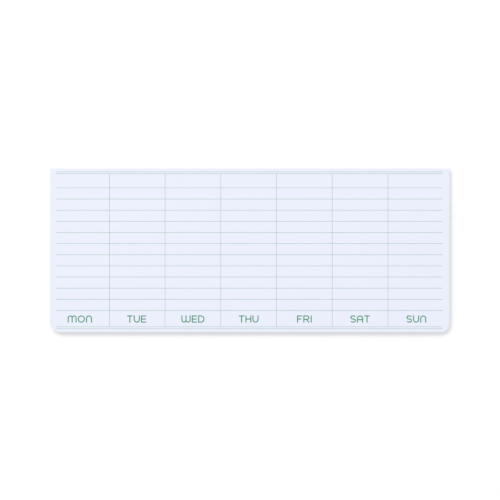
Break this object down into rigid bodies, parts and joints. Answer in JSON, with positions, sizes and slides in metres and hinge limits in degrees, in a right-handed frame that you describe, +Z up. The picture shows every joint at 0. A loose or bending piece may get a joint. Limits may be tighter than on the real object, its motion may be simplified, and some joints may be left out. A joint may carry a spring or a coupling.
{
  "type": "weekly sticky note pad",
  "caption": "Low rectangular pad of ruled weekly sticky notes, bonded along its back edge, with rounded front corners and a plain backing card.",
  "frame": {"origin": "middle of the pad's outline, on the underside of the backing card", "axes": "+X along the long side, from the first day to the last; +Y towards the glued back edge; +Z up, out of the printed face"},
  "size_m": [0.215, 0.088, 0.0041],
  "materials": {
    "note_paper": "matte",
    "card": "matte",
    "print_ink": "matte"
  },
  "bodies": {
    "root": {"backing_card": "card", "note_stack": "note_paper", "ruled_grid": "print_ink", "back_border_rule": "print_ink", "front_border_rule": "print_ink"}
  },
  "joints": []
}
